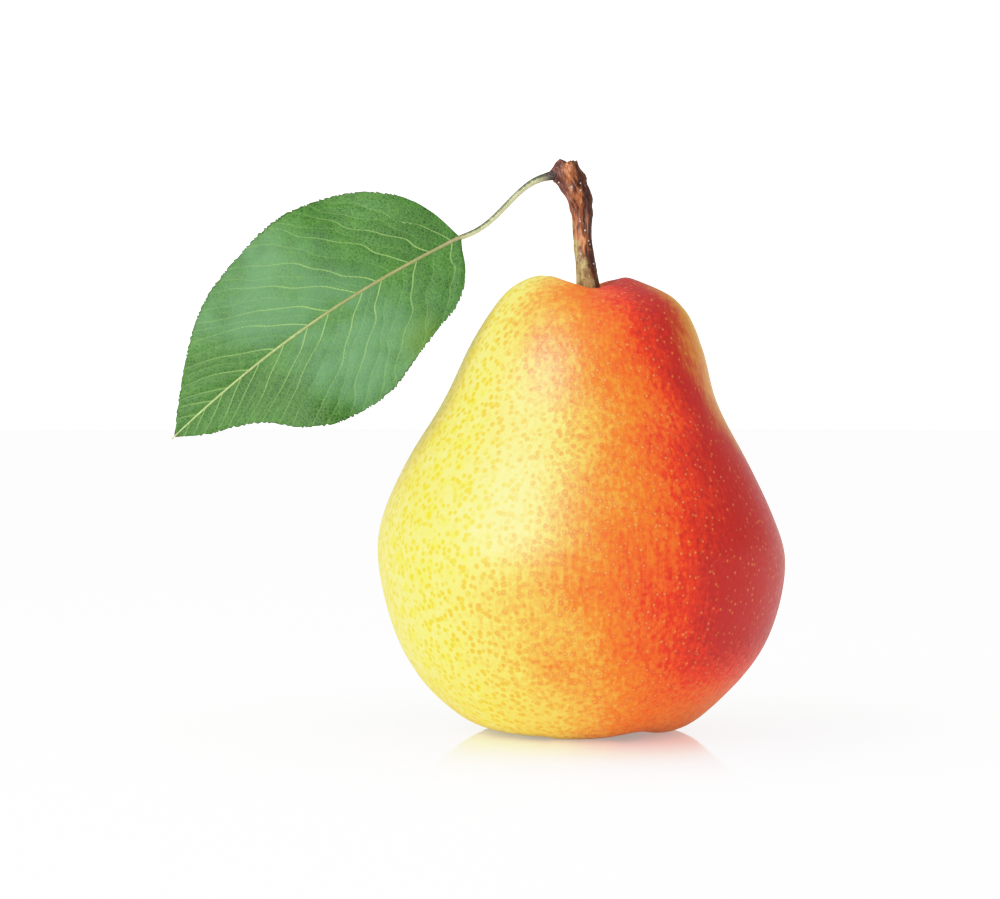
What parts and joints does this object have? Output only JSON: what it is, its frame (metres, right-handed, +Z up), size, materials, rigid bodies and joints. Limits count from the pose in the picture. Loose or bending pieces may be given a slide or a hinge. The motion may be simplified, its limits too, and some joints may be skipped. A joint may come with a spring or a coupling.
{
  "type": "pear",
  "caption": "Ripe pear standing on its lobed foot, with a woody stem in the hollow of its crown and one leaf on a thin stalk hanging to one side.",
  "frame": {"origin": "middle of the whole object's footprint box, on the surface that the fruit stands on", "axes": "+Z up, +Y to the back, +X to the right; the leaf hangs to the left, so the fruit's core line stands 18.8 mm along +X"},
  "size_m": [0.1126, 0.0738, 0.1053],
  "materials": {
    "pear_skin": "satin",
    "stem_bark": "satin",
    "leaf_green": "satin",
    "calyx_husk": "matte"
  },
  "bodies": {
    "root": {"pear_fruit": "pear_skin", "stem": "stem_bark", "leaf": "leaf_green", "calyx": "calyx_husk"}
  },
  "joints": []
}
